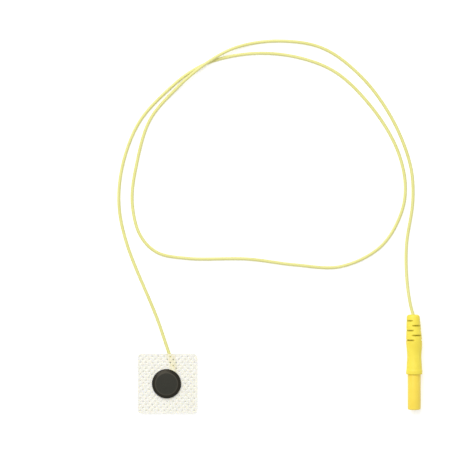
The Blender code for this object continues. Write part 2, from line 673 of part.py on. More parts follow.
base_tape(channel_cutter, foam_finish)
cover_cloth(lead_line, cloth_finish)
gel_pad(gel_finish)
sensor_stud(stud_finish)
sensor_cap(channel_cutter, button_finish)
conductor_loop(lead_line, copper_finish)
connector_grip(grip_finish)
socket_sleeve(nose_finish)
socket_contact(brass_finish)
conductor_tail(copper_finish)
print(f"lead length {lead_length(lead_line) / MM:.1f} mm with {len(lead_line)} points")
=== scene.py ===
# Electrode patch, finished for the shelf: cloth, foam, gel, button, lead and socket
import math

import bmesh
import bpy
import numpy as np
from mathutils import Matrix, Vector, noise
from mathutils.geometry import intersect_line_line_2d


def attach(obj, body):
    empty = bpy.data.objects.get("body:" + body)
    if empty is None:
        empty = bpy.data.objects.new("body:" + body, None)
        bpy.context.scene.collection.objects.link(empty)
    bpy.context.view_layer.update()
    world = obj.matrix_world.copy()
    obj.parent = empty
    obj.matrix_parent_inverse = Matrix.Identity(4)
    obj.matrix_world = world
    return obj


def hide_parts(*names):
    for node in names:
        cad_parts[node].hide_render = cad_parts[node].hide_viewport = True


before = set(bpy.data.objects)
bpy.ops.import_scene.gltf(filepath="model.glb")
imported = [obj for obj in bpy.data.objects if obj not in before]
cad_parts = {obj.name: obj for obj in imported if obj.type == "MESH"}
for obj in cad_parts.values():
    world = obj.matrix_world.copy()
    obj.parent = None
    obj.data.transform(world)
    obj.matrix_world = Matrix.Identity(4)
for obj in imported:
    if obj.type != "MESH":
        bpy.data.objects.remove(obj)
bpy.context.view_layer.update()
print("frame loaded:", ", ".join(sorted(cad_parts)))

# Small helpers

fineness = {"merge": 1e-6, "level": 1e-5, "edgeSteps": 4, "cornerSteps": 10, "discSides": 128,
            "buttonSteps": 128, "turnedSteps": 96}


def deselectAll():
    if bpy.context.object and bpy.context.object.mode != "OBJECT":
        bpy.ops.object.mode_set(mode="OBJECT")
    bpy.ops.object.select_all(action="DESELECT")


def startEdit(piece):
    deselectAll()
    piece.select_set(True)
    bpy.context.view_layer.objects.active = piece
    bpy.ops.object.mode_set(mode="EDIT")


def pick(piece, kind, test):
    # picks vertices, edges or faces of the piece in edit mode by their place or normal
    bpy.ops.mesh.select_mode(type=kind)
    bpy.ops.mesh.select_all(action="DESELECT")
    grid = bmesh.from_edit_mesh(piece.data)
    for item in {"VERT": grid.verts, "EDGE": grid.edges, "FACE": grid.faces}[kind]:
        if test(item):
            item.select_set(True)
    grid.select_flush_mode()
    bmesh.update_edit_mesh(piece.data)


def applyModifier(piece, kind, **values):
    deselectAll()
    piece.select_set(True)
    bpy.context.view_layer.objects.active = piece
    modifier = piece.modifiers.new(kind.title(), kind)
    for name, value in values.items():
        setattr(modifier, name, value)
    bpy.ops.object.modifier_apply(modifier=modifier.name)


def applyPlace(piece):
    deselectAll()
    piece.select_set(True)
    bpy.context.view_layer.objects.active = piece
    bpy.ops.object.transform_apply(location=True, rotation=True, scale=True)


def cutWith(piece, cutter, operation="DIFFERENCE"):
    applyModifier(piece, "BOOLEAN", object=cutter, operation=operation, solver="EXACT")
    bpy.data.objects.remove(cutter)


def smoothPiece(piece, degrees):
    deselectAll()
    piece.select_set(True)
    bpy.context.view_layer.objects.active = piece
    bpy.ops.object.shade_smooth_by_angle(angle=math.radians(degrees))


def wear(piece, material, slot, *nodes):
    # gives a finished piece its material, its place on the body and the solids it stands for
    piece.data.materials.clear()
    piece.data.materials.append(material)
    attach(piece, "root")
    if nodes:
        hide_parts(*nodes)
    return piece


def ease(share):
    share = min(max(share, 0), 1)
    return share * share * (3 - 2 * share)


def closeUp():
    # merges what touches, points the faces outwards and leaves edit mode
    bpy.ops.mesh.select_all(action="SELECT")
    bpy.ops.mesh.remove_doubles(threshold=fineness["merge"])
    bpy.ops.mesh.normals_make_consistent(inside=False)
    bpy.ops.object.mode_set(mode="OBJECT")


def turned(name, profile, steps):
    # profile is a list of (radius, height, rounding), drawn as a chain of points and spun round Z
    deselectAll()
    bpy.ops.mesh.primitive_plane_add(size=0.001, location=(0, 0, 0))
    piece = bpy.context.object
    piece.name = name
    piece.data.name = name
    startEdit(piece)
    bpy.ops.mesh.select_mode(type="VERT")
    bpy.ops.mesh.select_all(action="SELECT")
    bpy.ops.mesh.merge(type="CENTER")
    bpy.ops.transform.translate(value=(profile[0][0], 0, profile[0][1]))
    for before, after in zip(profile, profile[1:]):
        step = (after[0] - before[0], 0, after[1] - before[1])
        bpy.ops.mesh.extrude_region_move(TRANSFORM_OT_translate={"value": step})
    for radius, height, rounding in profile:
        if rounding:
            corner = Vector((radius, 0, height))
            pick(piece, "VERT", lambda vert: (vert.co - corner).length < fineness["merge"])
            bpy.ops.mesh.bevel(offset=rounding, segments=fineness["edgeSteps"], affect="VERTICES")
    bpy.ops.mesh.select_all(action="SELECT")
    bpy.ops.mesh.spin(steps=steps, angle=math.tau, center=(0, 0, 0), axis=(0, 0, 1))
    closeUp()
    return piece


def box(name, lowest, highest):
    deselectAll()
    low, high = Vector(lowest), Vector(highest)
    bpy.ops.mesh.primitive_cube_add(size=1, location=(low + high) / 2, scale=high - low)
    piece = bpy.context.object
    piece.name = name
    applyPlace(piece)
    return piece


def rise(edge):
    # height from one end of the edge to the other
    return (edge.verts[0].co - edge.verts[1].co).z


def roundedPlate(name, side, cornerRadius, bottom, top):
    # square plate with its four upright edges rounded
    piece = box(name, (-side / 2, -side / 2, bottom), (side / 2, side / 2, top))
    startEdit(piece)
    pick(piece, "EDGE", lambda edge: abs(rise(edge)) > (top - bottom) / 2)
    bpy.ops.mesh.bevel(offset=cornerRadius, segments=fineness["cornerSteps"], affect="EDGES")
    bpy.ops.object.mode_set(mode="OBJECT")
    return piece


def disc(name, centre, radius, bottom, top):
    deselectAll()
    middle = (centre[0], centre[1], (bottom + top) / 2)
    bpy.ops.mesh.primitive_cylinder_add(
        vertices=fineness["discSides"], radius=radius, depth=top - bottom, location=middle)
    piece = bpy.context.object
    piece.name = name
    applyPlace(piece)
    return piece


def tube(name, points, radius, roundness):
    # round tube through the points, capped at both ends, left as a curve
    curve = bpy.data.curves.new(name, "CURVE")
    curve.dimensions = "3D"
    curve.bevel_depth = radius
    curve.bevel_resolution = roundness
    curve.use_fill_caps = True
    spline = curve.splines.new("POLY")
    spline.points.add(len(points) - 1)
    for splinePoint, point in zip(spline.points, points):
        splinePoint.co = (*point, 1)
    piece = bpy.data.objects.new(name, curve)
    bpy.context.scene.collection.objects.link(piece)
    return piece


# View, floor and light

view = {"width": 0.17625, "centre": (0.02533, 0.05569), "lens": 180, "sensor": 36, "farthest": 20}
light = {"sky": 0.6, "key": 8.1, "keyFrom": (-0.28, 0.55, 0.88), "keySize": 0.8}
table = {"size": 8, "colour": 0.86, "lift": 0.42, "roughness": 0.9, "shine": 0.1}


def addCamera():
    height = view["width"] * view["lens"] / view["sensor"]
    bpy.ops.object.camera_add(location=(*view["centre"], height), rotation=(0, 0, 0))
    camera = bpy.context.object
    camera.data.lens = view["lens"]
    camera.data.sensor_width = view["sensor"]
    camera.data.clip_end = view["farthest"]
    bpy.context.scene.camera = camera


def seenDirectly(nodes, links):
    # 1 for rays from the camera, from gloss and through glass, 0 for light that falls on things
    path = nodes.new("ShaderNodeLightPath")
    either = nodes.new("ShaderNodeMath")
    either.operation = "MAXIMUM"
    links.new(path.outputs["Is Camera Ray"], either.inputs[0])
    links.new(path.outputs["Is Glossy Ray"], either.inputs[1])
    anyOf = nodes.new("ShaderNodeMath")
    anyOf.operation = "MAXIMUM"
    links.new(either.outputs[0], anyOf.inputs[0])
    links.new(path.outputs["Is Transmission Ray"], anyOf.inputs[1])
    return anyOf.outputs[0]


def addFloor():
    deselectAll()
    bpy.ops.mesh.primitive_plane_add(size=table["size"], location=(0, 0, 0))
    floor = bpy.context.object
    floor.name = "floor"
    material = bpy.data.materials.new("whiteTable")
    material.use_nodes = True
    nodes, links = material.node_tree.nodes, material.node_tree.links
    shader = nodes["Principled BSDF"]
    shader.inputs["Base Color"].default_value = (table["colour"], table["colour"], table["colour"], 1)
    shader.inputs["Roughness"].default_value = table["roughness"]
    shader.inputs["Specular IOR Level"].default_value = table["shine"]
    shader.inputs["Emission Color"].default_value = (1, 1, 1, 1)
    lift = nodes.new("ShaderNodeMath")
    lift.operation = "MULTIPLY"
    lift.inputs[1].default_value = table["lift"]
    links.new(seenDirectly(nodes, links), lift.inputs[0])
    links.new(lift.outputs[0], shader.inputs["Emission Strength"])
    floor.data.materials.append(material)


def addLights():
    world = bpy.data.worlds.new("softRoom")
    world.use_nodes = True
    nodes, links = world.node_tree.nodes, world.node_tree.links
    background = nodes["Background"]
    background.inputs["Color"].default_value = (1, 1, 1, 1)
    strength = nodes.new("ShaderNodeMix")
    strength.data_type = "FLOAT"
    strength.inputs["A"].default_value = light["sky"]
    strength.inputs["B"].default_value = 1.0
    links.new(seenDirectly(nodes, links), strength.inputs["Factor"])
    links.new(strength.outputs["Result"], background.inputs["Strength"])
    bpy.context.scene.world = world
    target = Vector((*view["centre"], 0))
    place = target + Vector(light["keyFrom"])
    bpy.ops.object.light_add(type="AREA", location=place)
    key = bpy.context.object
    key.data.energy = light["key"]
    key.data.size = light["keySize"]
    key.rotation_euler = (place - target).to_track_quat("Z", "Y").to_euler()
    bpy.context.scene.view_settings.view_transform = "Standard"


addCamera()
addFloor()
addLights()
print("camera, floor and lights placed")

# Lead: route on the table, then its height over the patch, the crossing and the socket

lead = {
    "diameter": 0.0012,
    "length": 0.600,
    "roundness": 4,
    "levelInPatch": 0.00095,
    "dropLength": 0.009,
    "riseLength": 0.024,
    "humpFlat": 0.008,
    "humpRamp": 0.014,
    "clearance": 0.00005,
    "stepLength": 0.0009,
    "buriedInGrip": 0.0120,
    "routeSteps": 24,
    "route": [
        (0.0021, 0.0036), (0.0019, 0.0080), (0.0004, 0.0120), (-0.0039, 0.0245), (-0.0154, 0.0530),
        (-0.0182, 0.0677), (-0.0165, 0.0831), (-0.0103, 0.0984), (0.0006, 0.1104), (0.0090, 0.1170),
        (0.0180, 0.1212), (0.0340, 0.1238), (0.0500, 0.1220), (0.0635, 0.1164), (0.0770, 0.1030),
        (0.0859, 0.0882), (0.0891, 0.0750), (0.0877, 0.0642), (0.0800, 0.0514), (0.0650, 0.0439),
        (0.0480, 0.0445), (0.0300, 0.0467), (0.0080, 0.0469), (-0.0039, 0.0492), (-0.0102, 0.0556),
        (-0.0132, 0.0680), (-0.0116, 0.0820), (-0.0065, 0.0989), (0.0036, 0.1107), (0.0145, 0.1199),
        (0.0260, 0.1260), (0.0410, 0.1284), (0.0580, 0.1258), (0.0724, 0.1153), (0.0840, 0.0996),
        (0.0910, 0.0820), (0.0920, 0.0690), (0.0896, 0.0520), (0.0897, 0.0385), (0.09095, 0.0294),
        (0.0919, 0.02595),
    ],
}
patch = {"side": 0.0225, "cornerRadius": 0.0017, "sensorX": -0.0003, "cutReach": 0.001}
button = {
    "radius": 0.00545, "bottom": 0.00095, "height": 0.00155, "faceRadius": 0.00415,
    "bevelDrop": 0.0005, "draft": 0.00006, "wall": 0.0007, "topThickness": 0.0006,
    "bossRadius": 0.0023, "bossLevel": 0.00135, "stemRadius": 0.0009, "stemBead": 0.00015,
    "stemTop": 0.0019, "clearance": 0.00005, "faceEdge": 0.0003, "bevelEdge": 0.00025,
    "rimEdge": 0.00006, "skirtEdge": 0.00005, "ceilingEdge": 0.0002, "bossRoot": 0.0001,
    "bossEdge": 0.00005, "smoothAngle": 40,
}
socketTail = Vector((0.0923, 0.02595, 0.00305))


def smoothRoute(points, steps):
    # centripetal curve through the points, straight past both ends
    ends = [points[0] * 2 - points[1], *points, points[-1] * 2 - points[-2]]
    line = []
    for before, start, end, after in zip(ends, ends[1:], ends[2:], ends[3:]):
        t1 = math.sqrt((start - before).length)
        t2 = t1 + math.sqrt((end - start).length)
        t3 = t2 + math.sqrt((after - end).length)
        for i in range(steps):
            t = t1 + (t2 - t1) * i / steps
            a = before.lerp(start, t / t1)
            b = start.lerp(end, (t - t1) / (t2 - t1))
            c = end.lerp(after, (t - t2) / (t3 - t2))
            line.append(a.lerp(b, t / t2).lerp(b.lerp(c, (t - t1) / (t3 - t1)), (t - t1) / (t2 - t1)))
    line.append(points[-1])
    return line


def crossingDistance(line, distances):
    # where the second lap of the lead passes over the first, measured along the lead
    nearby = 30
    for i in range(len(line) - 1):
        for j in range(i + nearby, len(line) - 1):
            hit = intersect_line_line_2d(line[i], line[i + 1], line[j], line[j + 1])
            if hit:
                return distances[j] + (hit - line[j]).length
    return None


def leadLine():
    plan = smoothRoute([Vector(point) for point in lead["route"]], lead["routeSteps"])
    distances = [0.0]
    for start, end in zip(plan, plan[1:]):
        distances.append(distances[-1] + (end - start).length)
    radius = lead["diameter"] / 2
    total = distances[-1]
    patchEdge = next(d for d, point in zip(distances, plan) if point.y > patch["side"] / 2)
    crossing = crossingDistance(plan, distances)
    overLevel = lead["diameter"] + lead["clearance"]
    count = round(total / lead["stepLength"])
    across = [point.x for point in plan]
    along = [point.y for point in plan]
    line = []
    for i in range(count + 1):
        d = total * i / count
        inPatch = ease((patchEdge + lead["dropLength"] - d) / lead["dropLength"])
        inSocket = ease((d - total + lead["riseLength"]) / lead["riseLength"])
        over = ease((lead["humpFlat"] + lead["humpRamp"] - abs(d - crossing)) / lead["humpRamp"])
        z = radius + inPatch * (lead["levelInPatch"] - radius) + inSocket * (socketTail.z - radius)
        z += over * overLevel
        x = float(np.interp(d, distances, across))
        y = float(np.interp(d, distances, along))
        line.append(Vector((x, y, z)))
    line.append(socketTail - Vector((0, lead["buriedInGrip"], 0)))
    return line


leadPoints = leadLine()
print("lead route:", len(leadPoints), "points")

# Shader groups that several materials share


def newGroup(name, inputs, outputs):
    group = bpy.data.node_groups.new(name, "ShaderNodeTree")
    for label, kind, value in inputs:
        socket = group.interface.new_socket(label, in_out="INPUT", socket_type=kind)
        if value is not None:
            socket.default_value = value
    for label, kind in outputs:
        group.interface.new_socket(label, in_out="OUTPUT", socket_type=kind)
    start = group.nodes.new("NodeGroupInput")
    end = group.nodes.new("NodeGroupOutput")
    return group, start, end


def addNode(tree, kind, values=None, **settings):
    node = tree.nodes.new(kind)
    for name, value in settings.items():
        setattr(node, name, value)
    for name, value in (values or {}).items():
        node.inputs[name].default_value = value
    return node


def addMath(tree, operation, first, second):
    # a Math node on two sockets or numbers
    node = tree.nodes.new("ShaderNodeMath")
    node.operation = operation
    for socket, value in zip(node.inputs, (first, second)):
        if isinstance(value, (int, float)):
            socket.default_value = value
        else:
            tree.links.new(value, socket)
    return node.outputs[0]


def makeToneGroup():
    # uneven tone: a colour that drifts a little darker and warmer in soft patches
    group, start, end = newGroup(
        "toneDrift",
        [("Vector", "NodeSocketVector", None), ("Color", "NodeSocketColor", (1, 1, 1, 1)),
         ("Shade", "NodeSocketColor", (0.8, 0.8, 0.8, 1)), ("Size", "NodeSocketFloat", 400.0),
         ("Amount", "NodeSocketFloat", 0.5)],
        [("Color", "NodeSocketColor"), ("Mask", "NodeSocketFloat")])
    links = group.links
    broad = addNode(group, "ShaderNodeTexNoise", {"Detail": 4.0, "Roughness": 0.55})
    links.new(start.outputs["Vector"], broad.inputs["Vector"])
    links.new(start.outputs["Size"], broad.inputs["Scale"])
    spread = addNode(group, "ShaderNodeMapRange", {"From Min": 0.32, "From Max": 0.68})
    links.new(broad.outputs["Fac"], spread.inputs["Value"])
    links.new(start.outputs["Amount"], spread.inputs["To Max"])
    blend = addNode(group, "ShaderNodeMix", data_type="RGBA")
    links.new(spread.outputs["Result"], blend.inputs["Factor"])
    links.new(start.outputs["Color"], blend.inputs["A"])
    links.new(start.outputs["Shade"], blend.inputs["B"])
    links.new(blend.outputs["Result"], end.inputs["Color"])
    links.new(spread.outputs["Result"], end.inputs["Mask"])
    return group


def makeGrainGroup():
    # moulded skin: fine pebble grain with faint flow marks, and gloss that varies with handling
    group, start, end = newGroup(
        "mouldedSkin",
        [("Vector", "NodeSocketVector", None), ("Grain", "NodeSocketFloat", 9000.0),
         ("Flow", "NodeSocketFloat", 500.0), ("Roughness", "NodeSocketFloat", 0.4),
         ("Spread", "NodeSocketFloat", 0.15)],
        [("Height", "NodeSocketFloat"), ("Roughness", "NodeSocketFloat")])
    links = group.links
    pebble = addNode(group, "ShaderNodeTexVoronoi", feature="SMOOTH_F1")
    links.new(start.outputs["Vector"], pebble.inputs["Vector"])
    links.new(start.outputs["Grain"], pebble.inputs["Scale"])
    flow = addNode(group, "ShaderNodeTexNoise", {"Detail": 5.0, "Roughness": 0.6, "Distortion": 0.8})
    links.new(start.outputs["Vector"], flow.inputs["Vector"])
    links.new(start.outputs["Flow"], flow.inputs["Scale"])
    height = addMath(group, "ADD", addMath(group, "MULTIPLY", pebble.outputs["Distance"], 0.5),
                     flow.outputs["Fac"])
    links.new(height, end.inputs["Height"])
    centred = addMath(group, "SUBTRACT", flow.outputs["Fac"], 0.5)
    gloss = addMath(group, "ADD", start.outputs["Roughness"],
                    addMath(group, "MULTIPLY", centred, start.outputs["Spread"]))
    links.new(gloss, end.inputs["Roughness"])
    return group


def makeFibreGroup():
    # loose web of fibres: thin bright strands lying in all directions over a soft mat
    group, start, end = newGroup(
        "fibreWeb",
        [("Vector", "NodeSocketVector", None), ("Fibres", "NodeSocketFloat", 2600.0)],
        [("Height", "NodeSocketFloat"), ("Strands", "NodeSocketFloat")])
    links = group.links
    strands = None
    for turn, stretch in ((0.3, 7.0), (1.4, 6.0), (2.4, 8.0)):
        place = addNode(group, "ShaderNodeMapping", {
            "Rotation": (0, 0, turn), "Scale": (1, stretch, 1)})
        links.new(start.outputs["Vector"], place.inputs["Vector"])
        layer = addNode(group, "ShaderNodeTexNoise", {"Detail": 2.0, "Distortion": 1.2})
        links.new(place.outputs["Vector"], layer.inputs["Vector"])
        links.new(start.outputs["Fibres"], layer.inputs["Scale"])
        ridge = addMath(group, "ABSOLUTE", addMath(group, "SUBTRACT", layer.outputs["Fac"], 0.5), 0)
        thin = addNode(group, "ShaderNodeMapRange", {
            "From Min": 0.0, "From Max": 0.05, "To Min": 1.0, "To Max": 0.0})
        links.new(ridge, thin.inputs["Value"])
        strands = thin.outputs["Result"] if strands is None else addMath(
            group, "MAXIMUM", strands, thin.outputs["Result"])
    mat = addNode(group, "ShaderNodeTexNoise", {"Detail": 6.0, "Roughness": 0.7})
    links.new(start.outputs["Vector"], mat.inputs["Vector"])
    links.new(start.outputs["Fibres"], mat.inputs["Scale"])
    height = addMath(group, "ADD", addMath(group, "MULTIPLY", strands, 0.5), mat.outputs["Fac"])
    links.new(height, end.inputs["Height"])
    links.new(strands, end.inputs["Strands"])
    return group


toneDrift = makeToneGroup()
mouldedSkin = makeGrainGroup()
fibreWeb = makeFibreGroup()

# Materials


def newMaterial(name, **values):
    # a Principled material; values that are the same all over go on its own sockets
    material = bpy.data.materials.new(name)
    material.use_nodes = True
    tree = material.node_tree
    shader = tree.nodes["Principled BSDF"]
    for label, value in values.items():
        shader.inputs[label].default_value = value
    place = tree.nodes.new("ShaderNodeTexCoord").outputs["Object"]
    return material, tree, shader, place


def addGroup(tree, group, place, **values):
    node = tree.nodes.new("ShaderNodeGroup")
    node.node_tree = group
    tree.links.new(place, node.inputs["Vector"])
    for label, value in values.items():
        node.inputs[label].default_value = value
    return node


def addBump(tree, shader, height, strength, depth):
    bump = addNode(tree, "ShaderNodeBump", {"Strength": strength, "Distance": depth})
    tree.links.new(height, bump.inputs["Height"])
    tree.links.new(bump.outputs["Normal"], shader.inputs["Normal"])


def addSkin(tree, place, look):
    # moulded grain and gloss of a look
    return addGroup(tree, mouldedSkin, place, Grain=look["grain"], Flow=look["flow"],
                    Roughness=look["roughness"], Spread=look["spread"])


def addTone(tree, place, look):
    # a look's own colour, drifting towards its shade
    return addGroup(tree, toneDrift, place, Color=(*look["colour"], 1), Shade=(*look["shade"], 1),
                    Size=look["toneSize"], Amount=look["toneAmount"])


def mouldedPlastic(name, look, **values):
    # smooth plastic or gel from a mould
    material, tree, shader, place = newMaterial(name, **values)
    tone = addTone(tree, place, look)
    skin = addSkin(tree, place, look)
    tree.links.new(tone.outputs["Color"], shader.inputs["Base Color"])
    tree.links.new(skin.outputs["Roughness"], shader.inputs["Roughness"])
    addBump(tree, shader, skin.outputs["Height"], look["bump"], look["bumpDepth"])
    return material


clothLook = {
    "colour": (0.934, 0.903, 0.825), "shade": (0.903, 0.885, 0.787), "toneSize": 150.0,
    "toneAmount": 1.0, "overLead": (0.90, 0.83, 0.52), "fibre": (0.975, 0.97, 0.90),
    "fibreAmount": 0.4, "fibres": 2600.0, "bump": 0.6, "bumpDepth": 0.00006, "scatterDepth": 0.00012,
}


def makeClothMaterial():
    material, tree, shader, place = newMaterial("perforatedCloth", **{
        "Roughness": 0.9, "Sheen Weight": 0.15, "Sheen Roughness": 0.5, "Specular IOR Level": 0.2,
        "Subsurface Weight": 0.5, "Subsurface Radius": (1.0, 0.95, 0.8),
        "Subsurface Scale": clothLook["scatterDepth"]})
    links = tree.links
    tone = addTone(tree, place, clothLook)
    web = addGroup(tree, fibreWeb, place, Fibres=clothLook["fibres"])
    strands = addNode(tree, "ShaderNodeMix", data_type="RGBA")
    strands.inputs["B"].default_value = (*clothLook["fibre"], 1)
    links.new(addMath(tree, "MULTIPLY", web.outputs["Strands"], clothLook["fibreAmount"]),
              strands.inputs["Factor"])
    links.new(tone.outputs["Color"], strands.inputs["A"])
    # the lead shows through the cloth as a soft yellow band
    over = addNode(tree, "ShaderNodeAttribute", attribute_name="overLead")
    tint = addNode(tree, "ShaderNodeMix", data_type="RGBA")
    tint.inputs["B"].default_value = (*clothLook["overLead"], 1)
    links.new(over.outputs["Fac"], tint.inputs["Factor"])
    links.new(strands.outputs["Result"], tint.inputs["A"])
    links.new(tint.outputs["Result"], shader.inputs["Base Color"])
    addBump(tree, shader, web.outputs["Height"], clothLook["bump"], clothLook["bumpDepth"])
    return material


foamLook = {
    "colour": (0.985, 0.98, 0.90), "shade": (0.96, 0.95, 0.86), "toneSize": 500.0, "toneAmount": 0.6,
    # colour of the painted shade in the cell pits
    "cells": 6500.0, "paintedPitShade": (0.97, 0.965, 0.95), "bump": 0.6, "bumpDepth": 0.00005,
}


def makeFoamMaterial():
    material, tree, shader, place = newMaterial("closedFoam", **{
        "Roughness": 0.85, "Specular IOR Level": 0.25})
    links = tree.links
    tone = addTone(tree, place, foamLook)
    cells = addNode(tree, "ShaderNodeTexVoronoi", {"Scale": foamLook["cells"]}, feature="F1")
    links.new(place, cells.inputs["Vector"])
    pits = addNode(tree, "ShaderNodeMapRange", {"From Min": 0.1, "From Max": 0.5})
    links.new(cells.outputs["Distance"], pits.inputs["Value"])
    # painted shade: the colour darkens in the cell pits that the bump sinks
    dark = addNode(tree, "ShaderNodeMix", data_type="RGBA", blend_type="MULTIPLY")
    dark.inputs["B"].default_value = (*foamLook["paintedPitShade"], 1)
    links.new(addMath(tree, "SUBTRACT", 1.0, pits.outputs["Result"]), dark.inputs["Factor"])
    links.new(tone.outputs["Color"], dark.inputs["A"])
    links.new(dark.outputs["Result"], shader.inputs["Base Color"])
    addBump(tree, shader, pits.outputs["Result"], foamLook["bump"], foamLook["bumpDepth"])
    return material


gelLook = {
    "colour": (0.86, 0.92, 0.93), "shade": (0.74, 0.82, 0.85), "toneSize": 350.0, "toneAmount": 0.7,
    "grain": 1800.0, "flow": 420.0, "roughness": 0.12, "spread": 0.1,
    "bump": 0.25, "bumpDepth": 0.00006,
}
gripLook = {
    "colour": (0.93, 0.78, 0.075), "shade": (0.86, 0.68, 0.05), "toneSize": 220.0, "toneAmount": 0.7,
    "grain": 6500.0, "flow": 300.0, "roughness": 0.5, "spread": 0.2, "bump": 0.3, "bumpDepth": 0.00004,
    # colour of the painted shade at the floors of the slots
    "paintedSlotShade": (0.66, 0.585, 0.03),
}
noseLook = {
    "colour": (0.95, 0.73, 0.078), "shade": (0.90, 0.66, 0.055), "toneSize": 260.0, "toneAmount": 0.6,
    "grain": 8000.0, "flow": 260.0, "roughness": 0.36, "spread": 0.2, "bump": 0.2, "bumpDepth": 0.00003,
}
leadLook = {
    "colour": (0.77, 0.745, 0.28), "shade": (0.71, 0.67, 0.21), "toneSize": 200.0, "toneAmount": 0.6,
    "grain": 7000.0, "flow": 260.0, "roughness": 0.42, "spread": 0.2,
    "bump": 0.25, "bumpDepth": 0.00003,
}


def paintSlotShade(material, colour):
    # painted shade: the moulding's colour darkens towards the floors of its slots, where shade falls
    tree = material.node_tree
    shader = tree.nodes["Principled BSDF"]
    plain = shader.inputs["Base Color"].links[0].from_socket
    mask = addNode(tree, "ShaderNodeAttribute", attribute_name="paintedSlotShade")
    blend = addNode(tree, "ShaderNodeMix", data_type="RGBA")
    blend.inputs["B"].default_value = (*colour, 1)
    tree.links.new(mask.outputs["Fac"], blend.inputs["Factor"])
    tree.links.new(plain, blend.inputs["A"])
    tree.links.new(blend.outputs["Result"], shader.inputs["Base Color"])


metalLook = {
    "toneSize": 900.0, "toneAmount": 0.6, "marks": 3500.0, "grain": 12000.0, "flow": 1500.0,
    "spread": 0.2, "bump": 0.2, "bumpDepth": 0.00002,
}
studLook = {
    "colour": (0.55, 0.54, 0.52), "shade": (0.42, 0.41, 0.39), "roughness": 0.45, **metalLook,
}
contactLook = {
    "colour": (0.83, 0.68, 0.38), "shade": (0.70, 0.55, 0.28), "roughness": 0.25, **metalLook,
}
conductorLook = {
    "colour": (0.72, 0.68, 0.62), "shade": (0.60, 0.54, 0.46), "roughness": 0.35, **metalLook,
}


def makeMetal(name, look):
    # plated metal with turning marks and a little tarnish
    material, tree, shader, place = newMaterial(name, Metallic=1.0)
    links = tree.links
    tone = addTone(tree, place, look)
    marks = addNode(
        tree, "ShaderNodeTexWave", {"Scale": look["marks"], "Distortion": 1.5, "Detail": 2.0},
        wave_type="BANDS", bands_direction="Y")
    links.new(place, marks.inputs["Vector"])
    skin = addSkin(tree, place, look)
    links.new(tone.outputs["Color"], shader.inputs["Base Color"])
    links.new(skin.outputs["Roughness"], shader.inputs["Roughness"])
    addBump(tree, shader, marks.outputs["Fac"], look["bump"], look["bumpDepth"])
    return material


buttonLook = {
    "colour": (0.0215, 0.0225, 0.019), "shade": (0.0265, 0.027, 0.0225), "toneSize": 300.0,
    "toneAmount": 0.7, "bevel": (0.0115, 0.0105, 0.008), "bevelFade": 0.0003,
    # a painted highlight ring on the edge between face and bevel
    "paintedEdgeHighlight": (0.062, 0.056, 0.044), "edgeHighlightAmount": 0.8, "edgeHighlightWidth": 0.00028,
    "grain": 7000.0, "flow": 350.0, "roughness": 0.5, "spread": 0.25, "bevelRoughness": 0.3,
    "bump": 0.25, "bumpDepth": 0.00003,
}


def makeButtonMaterial():
    # matt black face, a bevel left smooth and darker, and a painted highlight ring on the edge between
    # them
    material, tree, shader, place = newMaterial("satinBlack", **{
        "Specular IOR Level": 0.22, "Specular Tint": (1, 0.92, 0.72, 1)})
    links = tree.links
    tone = addTone(tree, place, buttonLook)
    skin = addSkin(tree, place, buttonLook)
    # distance from the button's own axis
    centred = addNode(tree, "ShaderNodeMapping", {
        "Location": (-patch["sensorX"], 0, 0), "Scale": (1, 1, 0)})
    links.new(place, centred.inputs["Vector"])
    radius = addNode(tree, "ShaderNodeVectorMath", operation="LENGTH")
    links.new(centred.outputs["Vector"], radius.inputs[0])
    fromEdge = addMath(tree, "SUBTRACT", radius.outputs["Value"], button["faceRadius"])
    onBevel = addNode(tree, "ShaderNodeMapRange", {
        "From Min": 0.0, "From Max": buttonLook["bevelFade"]})
    links.new(fromEdge, onBevel.inputs["Value"])
    colour = addNode(tree, "ShaderNodeMix", data_type="RGBA")
    colour.inputs["B"].default_value = (*buttonLook["bevel"], 1)
    links.new(onBevel.outputs["Result"], colour.inputs["Factor"])
    links.new(tone.outputs["Color"], colour.inputs["A"])
    # painted highlight: a lighter ring where the face meets the bevel
    nearEdge = addNode(tree, "ShaderNodeMapRange", {
        "From Min": 0.0, "From Max": buttonLook["edgeHighlightWidth"],
        "To Min": buttonLook["edgeHighlightAmount"], "To Max": 0.0})
    links.new(addMath(tree, "ABSOLUTE", fromEdge, 0), nearEdge.inputs["Value"])
    paintedEdgeHighlight = addNode(tree, "ShaderNodeMix", data_type="RGBA")
    paintedEdgeHighlight.inputs["B"].default_value = (*buttonLook["paintedEdgeHighlight"], 1)
    links.new(nearEdge.outputs["Result"], paintedEdgeHighlight.inputs["Factor"])
    links.new(colour.outputs["Result"], paintedEdgeHighlight.inputs["A"])
    links.new(paintedEdgeHighlight.outputs["Result"], shader.inputs["Base Color"])
    gloss = addNode(tree, "ShaderNodeMix", data_type="FLOAT")
    gloss.inputs["B"].default_value = buttonLook["bevelRoughness"]
    links.new(onBevel.outputs["Result"], gloss.inputs["Factor"])
    links.new(skin.outputs["Roughness"], gloss.inputs["A"])
    links.new(gloss.outputs["Result"], shader.inputs["Roughness"])
    addBump(tree, shader, skin.outputs["Height"], buttonLook["bump"], buttonLook["bumpDepth"])
    return material


clothFinish = makeClothMaterial()
foamFinish = makeFoamMaterial()
gelFinish = mouldedPlastic("clearGel", gelLook, **{"Transmission Weight": 0.75, "IOR": 1.36})
buttonFinish = makeButtonMaterial()
gripFinish = mouldedPlastic("yellowOvermould", gripLook)
# painted shade towards the floors of the grip's slots
paintSlotShade(gripFinish, gripLook["paintedSlotShade"])
noseFinish = mouldedPlastic("yellowNose", noseLook)
leadFinish = mouldedPlastic("yellowInsulation", leadLook)
studFinish = makeMetal("silverCoating", studLook)
contactFinish = makeMetal("platedContact", contactLook)
conductorFinish = makeMetal("tinnedConductor", conductorLook)
print("materials made")

# Lead

leadWire = tube("leadWire", leadPoints, lead["diameter"] / 2, lead["roundness"])
wear(leadWire, leadFinish, "yellow_insulation", "lead_wire")
print("lead made")

# Patch: cloth

